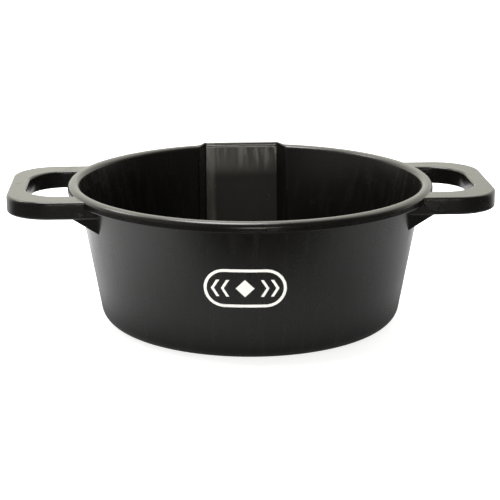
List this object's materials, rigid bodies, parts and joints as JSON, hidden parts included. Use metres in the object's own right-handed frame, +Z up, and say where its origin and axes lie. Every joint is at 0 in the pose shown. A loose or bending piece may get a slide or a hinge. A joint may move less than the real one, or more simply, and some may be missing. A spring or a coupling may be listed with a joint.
{
  "type": "round utility tub with loop handles",
  "caption": "Deep round tapered tub with a rolled rim, a loop handle on each side braced by gussets, and a flat-backed pouch in the rear wall.",
  "frame": {"origin": "centre of the flat base, on the surface the tub stands on, on the axis of the round wall", "axes": "+X towards the right-hand handle seen from the front, +Y towards the flat-backed pouch at the rear, +Z up"},
  "size_m": [0.552, 0.4245, 0.163],
  "materials": {
    "black_moulding": "satin black moulded polyethylene with fine scuffs",
    "white_print": "flat white screen print"
  },
  "bodies": {
    "root": {"basin_floor": "black_moulding", "basin_heel": "black_moulding", "basin_wall": "black_moulding", "rolled_rim": "black_moulding", "back_panel": "black_moulding", "left_cheek": "black_moulding", "right_cheek": "black_moulding", "pouch_heel": "black_moulding", "pouch_floor": "black_moulding", "left_grip": "black_moulding", "left_front_arm": "black_moulding", "left_rear_arm": "black_moulding", "right_grip": "black_moulding", "right_front_arm": "black_moulding", "right_rear_arm": "black_moulding", "left_front_gusset": "black_moulding", "left_rear_gusset": "black_moulding", "right_front_gusset": "black_moulding", "right_rear_gusset": "black_moulding", "front_emblem": "white_print"}
  },
  "joints": []
}
